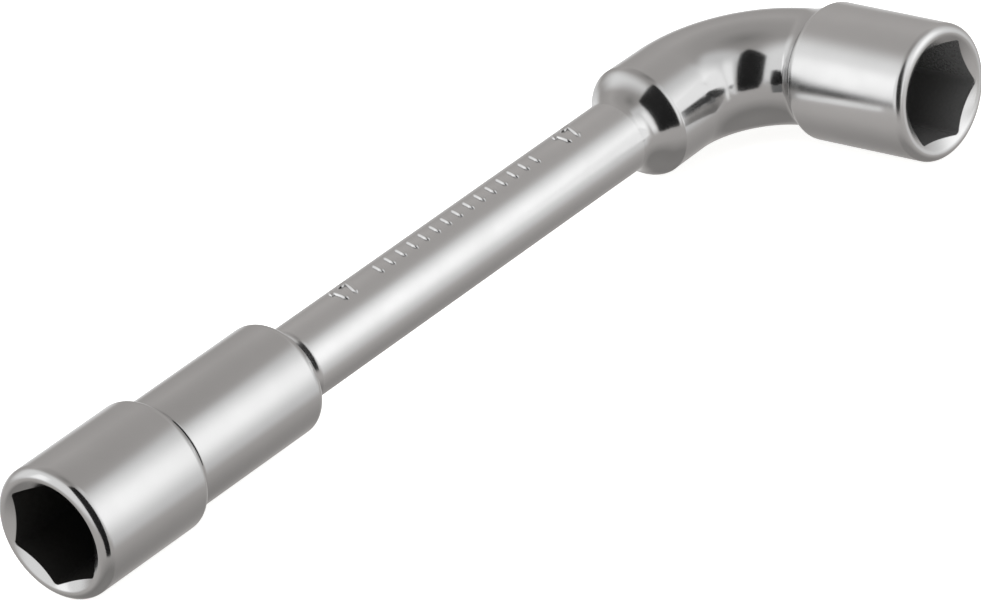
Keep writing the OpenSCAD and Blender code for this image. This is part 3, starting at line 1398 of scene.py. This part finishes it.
    def window_frame(self) -> list[tuple[int, int]]:
        """Walk round the window in the skin that the heel bore opens into.

        Returns:
            Steps round the bend and round the bar of each point of the window's edge.
        """
        t0, t1 = self.window_start, self.window_start + self.window_turns
        s0, s1 = -self.window_sides // 2, self.window_sides // 2
        frame = [(t, s0) for t in range(t0, t1)]
        frame += [(t1, s) for s in range(s0, s1)]
        frame += [(t, s1) for t in range(t1, t0, -1)]
        frame += [(t0, s) for s in range(s1, s0, -1)]
        return frame

    def cut_window(self, shape: bmesh.types.BMesh) -> list[bmesh.types.BMVert]:
        """Cut the window out of the skin.

        Args:
            shape: the skin.

        Returns:
            The vertices of the window's edge, in the order of its frame.
        """
        low = self.window_start * self.turn_step
        high = low + self.window_turns * self.turn_step
        wide = self.window_sides / 2 * self.side_step
        doomed = []
        for face in shape.faces:
            turn, side = self.spot_of(face.calc_center_median())
            if low < turn < high and abs(side) < wide:
                doomed.append(face)
        bmesh.ops.delete(shape, geom=doomed, context="FACES")
        by_place = {}
        for vert in shape.verts:
            turn, side = self.spot_of(vert.co)
            by_place[(round(turn / self.turn_step), round(side / self.side_step))] = vert
        return [by_place[spot] for spot in self.window_frame()]

    def open_heel(self, shape: bmesh.types.BMesh) -> None:
        """Cut the heel bore through the skin and close it round the spigot.

        Args:
            shape: the skin.
        """
        last = self.cut_window(shape)
        places = [(t * self.turn_step, s * self.side_step) for t, s in self.window_frame()]
        half_turn = self.window_turns / 2 * self.turn_step
        half_side = self.window_sides / 2 * self.side_step
        middle = self.window_start * self.turn_step + half_turn
        angles = [math.atan2(s / half_side, (t - middle) / half_turn) for t, s in places]
        lip = [self.on_outlet(a, self.bore_r + self.heel_round) for a in angles]
        for k in range(1, self.heel_rings + 1):
            share = k / self.heel_rings
            last = self.extend(shape, last, [
                self.on_bend(p[0] + (q[0] - p[0]) * share, p[1] + (q[1] - p[1]) * share)
                for p, q in zip(places, lip)], Wall.OUTSIDE)
        top = [self.on_bend(*spot) for spot in lip]
        edge = [self.on_bend(*self.on_outlet(a, self.bore_r)) for a in angles]
        deep = [p - Vector((0, self.heel_round * self.heel_depth, 0)) for p in edge]
        for k in range(1, self.heel_rolls + 1):
            a, b, c = weights(k / self.heel_rolls)
            wall = Wall.LINING if k > self.heel_rolls // 2 else Wall.OUTSIDE
            points = [a * p + b * q + c * r for p, q, r in zip(top, edge, deep)]
            last = self.extend(shape, last, points, wall)
        self.close_spigot(shape, last, angles)

    def close_spigot(self, shape: bmesh.types.BMesh, last: list[bmesh.types.BMVert],
                     angles: list[float]) -> None:
        """Carry the heel bore down to the spigot's end and the spigot back to the bend.

        Args:
            shape: the skin.
            last: last ring of the bore's rounded edge.
            angles: angle of each of its points round the bore.
        """
        front = -self.bend_r - self.spigot_len
        for radius, y, wall in (
                (self.bore_r, front + self.entry, Wall.LINING),
                (self.bore_r + self.entry, front, Wall.LINING),
                (self.spigot_r, front, Wall.LINING),
                (self.spigot_r, -self.bend_r, Wall.OUTSIDE)):
            points = [Vector((radius * math.cos(a), y, radius * math.sin(a))) for a in angles]
            last = self.extend(shape, last, points, wall)
        inner = set(last)
        rim = [v for v in shape.verts
               if v.is_boundary and abs(v.co.y / MM + self.bend_r) < ON_PLANE and v not in inner]
        edges = {}
        for ring in (rim, last):
            for vert in sorted(ring, key=lambda v: math.atan2(v.co.z, v.co.x)):
                edges.update((e, None) for e in vert.link_edges if e.is_boundary)
        bmesh.ops.bridge_loops(shape, edges=list(edges))

    def close_front(self, shape: bmesh.types.BMesh) -> None:
        """Close the rim's end with the face and the blind hole that take the shank's pin.

        Args:
            shape: the skin.
        """
        front = -self.bend_r - self.run_len
        last = [v for v in shape.verts if v.is_boundary and abs(v.co.x / MM - front) < ON_PLANE]
        last.sort(key=lambda v: math.atan2(v.co.z, v.co.y))
        angles = [math.atan2(v.co.z, v.co.y) for v in last]
        hole = [(self.pin_hole_r * math.cos(a), self.pin_hole_r * math.sin(a)) for a in angles]
        for x in (front, front + self.pin_hole_len):
            last = self.extend(shape, last, [Vector((x, y, z)) for y, z in hole], Wall.LINING)
        shape.faces.new(last).material_index = Wall.LINING


@dataclass
class Corner(Assembly):
    """The collar and the elbow that carry the shank round to the angled head."""

    collar: Collar = field(default_factory=Collar)
    elbow: Elbow = field(default_factory=Elbow)


@dataclass
class AngledHead(Assembly):
    """The angled end: one socket section on the elbow's spigot."""

    # Its lining is the broached steel painted lighter, as painted light where the tent lights these walls
    socket: Socket = field(default_factory=lambda: Socket(
        piece="angled_socket_shell", node="angled_socket", arm=Arm.SHORT, turn=13.5, radius=12.4016,
        length=25.8, hex_depth=14.0, back_r=1.8, lining=PAINTED_LIT_BROACH, finish=GROUND_CHROME))


def facing(bearing: float, elevation: float) -> tuple[Vector, Vector, Vector]:
    """Give the axes of what faces the wrench from one direction.

    Args:
        bearing: the direction, in degrees from +X towards +Y.
        elevation: its height, in degrees.

    Returns:
        Unit vectors outwards in that direction, along the width and along the height.
    """
    turn = math.radians(bearing)
    lift = math.radians(elevation)
    outward = Vector((math.cos(lift) * math.cos(turn), math.cos(lift) * math.sin(turn), math.sin(lift)))
    across = Vector((-math.sin(turn), math.cos(turn), 0))
    return outward, across, outward.cross(across)


@dataclass(frozen=True)
class PhotoCamera:
    """The camera of the photograph: a long lens, turned a little about its own axis.

    Attributes:
        target: point that the camera looks at, in millimetres.
        bearing: direction of the camera from the target, in degrees from +X towards +Y.
        elevation: height of the camera above the target, in degrees.
        roll: turn about the line of sight, in degrees.
        distance: distance from the target, in millimetres.
        lens: focal length for the sensor.
        sensor: width of the sensor.
        clip_end: how far the camera sees, in metres.
    """

    target: tuple[float, float, float] = (39.327, 42.373, -19.127)
    bearing: float = -135.6766
    elevation: float = 26.9926
    roll: float = -10.6473
    distance: float = 1600.0
    lens: float = 329.9722
    sensor: float = 36.0
    clip_end: float = 100.0

    def build(self) -> None:
        """Make the camera and give it to the scene."""
        outward, _, _ = facing(self.bearing, self.elevation)
        data = bpy.data.cameras.new("photo_camera")
        data.sensor_fit = "HORIZONTAL"
        data.sensor_width = self.sensor
        data.lens = self.lens
        data.clip_end = self.clip_end
        camera = bpy.data.objects.new("photo_camera", data)
        spot = Matrix.Translation((Vector(self.target) + outward * self.distance) * MM)
        aim = (-outward).to_track_quat("-Z", "Y").to_matrix().to_4x4()
        camera.matrix_world = spot @ aim @ Matrix.Rotation(math.radians(self.roll), 4, "Z")
        bpy.context.scene.collection.objects.link(camera)
        bpy.context.scene.camera = camera


@dataclass(frozen=True)
class LightPanel:
    """A flat, soft-edged card of the light tent, as the wrench sees it.

    Attributes:
        name: what the card is.
        bearing: direction of its middle, in degrees from +X towards +Y.
        elevation: height of its middle, in degrees.
        half_width: half of its width, in degrees.
        half_height: half of its height, in degrees.
        side_edge: width of its soft sides, in degrees.
        top_edge: width of its soft top and bottom, in degrees.
        brightness: light that it gives, with one for a white sheet.
    """

    name: str
    bearing: float
    elevation: float
    half_width: float
    half_height: float
    side_edge: float
    top_edge: float
    brightness: float

    def cover(self, tree: bpy.types.NodeTree, towards: bpy.types.NodeSocket) -> bpy.types.NodeSocket:
        """Add the nodes that say how far the panel covers a direction.

        Args:
            tree: the tent's node tree.
            towards: the direction.

        Returns:
            One on the panel, none beside it and a share on its soft edge.
        """
        forward, across, up = facing(self.bearing, self.elevation)
        ahead = add(tree, "ShaderNodeVectorMath", {"operation": "DOT_PRODUCT"}, {
            0: towards, 1: forward}, "Value")
        covers = []
        for axis, half, edge in (
                (across, self.half_width, self.side_edge), (up, self.half_height, self.top_edge)):
            off = add(tree, "ShaderNodeVectorMath", {"operation": "DOT_PRODUCT"}, {
                0: towards, 1: axis}, "Value")
            angle = add(tree, "ShaderNodeMath", {"operation": "ARCTAN2"}, {0: off, 1: ahead})
            away = add(tree, "ShaderNodeMath", {"operation": "ABSOLUTE"}, {0: angle})
            covers.append(add(tree, "ShaderNodeMapRange", {"interpolation_type": "SMOOTHSTEP"}, {
                "Value": away, "From Min": math.radians(half + edge / 2),
                "From Max": math.radians(half - edge / 2)}))
        return add(tree, "ShaderNodeMath", {"operation": "MULTIPLY"}, {0: covers[0], 1: covers[1]})


@dataclass(frozen=True)
class NearCard:
    """A card that shows only in the polished metal. Those close to the wrench paint bright and dark
    reflections into it.

    Attributes:
        name: what the card is.
        bearing: direction of its middle, in degrees from +X towards +Y.
        elevation: height of its middle, in degrees.
        distance: distance of its middle, in millimetres.
        seen_from: the point that the direction and the distance are measured from.
        outline: corners, across and up from its middle, against the clock.
        brightness: light that it gives, with one for a white sheet.
        two_sided: whether it is also seen from behind.
    """

    name: str
    bearing: float
    elevation: float
    distance: float
    seen_from: tuple[float, float, float]
    outline: tuple[tuple[float, float], ...]
    brightness: float = 0.015
    two_sided: bool = False

    def build(self) -> None:
        """Stand the card in its place."""
        forward, across, up = facing(self.bearing, self.elevation)
        middle = Vector(self.seen_from) + forward * self.distance
        corners = [(middle + across * x + up * y) * MM for x, y in reversed(self.outline)]
        board = sheet("studio_" + self.name, corners, CardBoard(
            "card_board_" + self.name, self.brightness, self.two_sided))
        board.visible_camera = False
        board.visible_diffuse = False
        board.visible_shadow = False


def sheet(name: str, corners: list[Vector], finish: Finish) -> bpy.types.Object:
    """Make a flat sheet.

    Args:
        name: name of the sheet.
        corners: its corners in metres, in order.
        finish: its finish.

    Returns:
        The sheet.
    """
    mesh = bpy.data.meshes.new(name)
    mesh.from_pydata(corners, [], [range(len(corners))])
    mesh.materials.append(finish.material())
    made = bpy.data.objects.new(name, mesh)
    bpy.context.scene.collection.objects.link(made)
    return made


@dataclass(frozen=True)
class Studio:
    """A pale floor in a tent of soft light, with an opening on the camera's side.

    Attributes:
        floor_size: side of the floor in metres.
        tent_colour: colour of the bare tent.
        tent_levels: brightness of the bare tent by elevation in degrees.
        panels: cards of the tent that are lighter or darker, each over the ones before it.
        near_cards: the unlit opening that the photographer works through, and cards close to the wrench
            that paint bright and dark reflections into the polished metal.
        overhead_size: side of the lamp that lights the floor, in metres.
        overhead_height: height of that lamp, in metres.
        overhead_power: power of that lamp in watts.
    """

    floor_size: float = 6.0
    tent_colour: str = "#fffbf8"
    tent_levels: tuple[tuple[float, float], ...] = (
        (-90, 0.31), (-60, 0.28), (-35, 0.51), (-15, 0.56), (5, 0.44),
        (35, 0.54), (55, 0.46), (70, 0.43), (90, 0.28))
    panels: tuple[LightPanel, ...] = (
        LightPanel("left_side", -82, 41, 28, 26, 14, 19, 0.8),
        LightPanel("left_glow", -39, 8, 23, 36, 30, 14, 0.8),
        LightPanel("left_card", -61, 15, 21, 22, 22, 38, 1.45),
        LightPanel("right_side", 159, 28, 64, 32, 38, 28, 1.02),
        LightPanel("right_card", 138, 20, 8, 15, 6, 11, 1.45),
        LightPanel("table_beyond", 50, -19, 32, 13, 19, 16, 0.8),
        LightPanel("left_strip", -97, 20, 8, 28, 8, 22, 1.25),
    )
    near_cards: tuple[NearCard, ...] = (
        NearCard("camera_side_opening", -137, 27, 500, (0, 10, 12), (
            (-88, -430), (347, -460), (450, -420), (126, 385), (26, 484), (-233, 293), (-194, -244))),
        # A dark card just below the straight socket's lip, seen only as a painted dark reflection in the
        # lip
        NearCard("straight_lip_dark_reflection", -117, -90, 11.5, (-98.3, 4.7, 12), (
            (5.2, 13), (22.5, 55.6), (-23.4, 55.2), (-5.5, 12.9))),
        # Cards in the elbow's crook beside the angled socket's back: the dark one and the grey one paint
        # dark reflections on the elbow there, as painted shade
        NearCard("corner_painted_dark_reflection", 0, 0, 73.5, (0, 0, 0), (
            (-1.9, 13.6), (-1.0, 13.2), (-0.6, 13.9), (-0.2, 13.3), (0.3, 13.8), (0.3, 17.4), (0.1, 18.0),
            (-0.1, 17.2), (-0.4, 18.0), (-0.7, 17.3), (-1.2, 17.8), (-1.5, 16.9)), two_sided=True),
        NearCard("corner_shade", 0, 0, 73.4, (0, 0, 0), (
            (-1.9, 11.2), (0.2, 11.4), (0.25, 13.6), (-1.9, 13.6)), brightness=0.18, two_sided=True),
        # A dark card that paints a dark streak into the elbow's reflection
        NearCard("streak_painted_dark_reflection", 0, 0, 71.9, (0, 0, 0), (
            (-8, 12.9), (0.7, 13.0), (0.9, 15.7), (-8, 15.0)), brightness=0.06),
        # A dark card and a bright one that paint a dark streak and a bright band into the angled socket's
        # reflection
        NearCard("socket_painted_dark_reflection", 180, 0, 100, (170, 0, 0), (
            (3.3, 13.7), (9, 14.1), (15, 14.5), (21, 14.9),
            (21, 15.4), (15, 15.6), (9, 15.8), (3.1, 16.1)), brightness=0.06),
        NearCard("socket_painted_bright_reflection", 180, 0, 100, (170, 0, 0), (
            (2, 11.0), (9, 11.6), (15, 12.1), (22, 12.7),
            (22, 14.2), (15, 13.9), (9, 13.4), (2, 12.8)), brightness=0.95),
        # A bright card in the elbow's crook, which paints a bright reflection on the shank and the elbow
        # over the angled socket's own reflection
        NearCard("inner_painted_bright_reflection", 0, 0, 72, (0, 0, 0), (
            (-60, 4), (-8, 6), (-8, 16.4), (2.4, 16.4), (2.4, 22), (-8, 24), (-60, 26)), brightness=1.22),
    )
    overhead_size: float = 3.0
    overhead_height: float = 2.5
    overhead_power: float = 60.0

    def build(self) -> None:
        """Make the floor, the cards, the tent, the overhead lamp and the colour management."""
        self.lay_floor()
        for card in self.near_cards:
            card.build()
        self.hang_tent()
        self.hang_lamp()
        bpy.context.scene.view_settings.view_transform = "Standard"

    def lay_floor(self) -> None:
        """Lay the floor, which the polished metal reflects as part of the tent instead."""
        half = self.floor_size / 2
        corners = [Vector((x * half, y * half, 0)) for x, y in ((-1, -1), (1, -1), (1, 1), (-1, 1))]
        floor = sheet("studio_floor", corners, MattPaint())
        floor.visible_glossy = False

    def hang_tent(self) -> None:
        """Light the scene from all round by the tent's levels and its panels."""
        world = bpy.data.worlds.new("light_tent")
        world.use_nodes = True
        tree = world.node_tree
        tree.nodes.clear()
        towards = add(tree, "ShaderNodeTexCoord", {}, {}, "Generated")
        parts = add(tree, "ShaderNodeSeparateXYZ", {}, {"Vector": towards}).node.outputs
        elevation = add(tree, "ShaderNodeMath", {"operation": "ARCSINE"}, {0: parts["Z"]})
        share = add(tree, "ShaderNodeMapRange", {}, {
            "Value": elevation, "From Min": -math.pi / 2, "From Max": math.pi / 2})
        light = add(tree, "ShaderNodeValToRGB", {}, {"Fac": share})
        ramp = light.node.color_ramp
        while len(ramp.elements) < len(self.tent_levels):
            ramp.elements.new(1.0)
        tint = linear(self.tent_colour)
        for element, (height, level) in zip(ramp.elements, self.tent_levels):
            element.position = height / 180 + 0.5
            element.color = (level * tint[0], level * tint[1], level * tint[2], 1.0)
        for panel in self.panels:
            cover = panel.cover(tree, towards)
            light = add(tree, "ShaderNodeMix", {"data_type": "RGBA"}, {
                "Factor": cover, MIX_A: light, MIX_B: grey(panel.brightness)}, MIX_RESULT)
        glow = add(tree, "ShaderNodeBackground", {}, {"Color": light, "Strength": 1.0})
        add(tree, "ShaderNodeOutputWorld", {}, {"Surface": glow})
        bpy.context.scene.world = world

    def hang_lamp(self) -> None:
        """Hang a wide lamp that lights the floor and stays out of the reflections."""
        data = bpy.data.lights.new("overhead_lamp", "AREA")
        data.size = self.overhead_size
        data.energy = self.overhead_power
        lamp = bpy.data.objects.new("overhead_lamp", data)
        lamp.location = (0, 0, self.overhead_height)
        lamp.visible_glossy = False
        lamp.visible_camera = False
        bpy.context.scene.collection.objects.link(lamp)


def main() -> None:
    """Build the wrench around its CAD frame and set the studio."""
    logging.basicConfig(level=logging.INFO, format="%(name)s: %(message)s")
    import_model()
    PhotoCamera().build()
    layout = Layout.from_frame()
    for assembly in (StraightHead(), Handle(), Corner(), AngledHead()):
        for dressed in assembly.build(layout):
            dressed.attach()
    Studio().build()


if __name__ == "__main__":
    main()
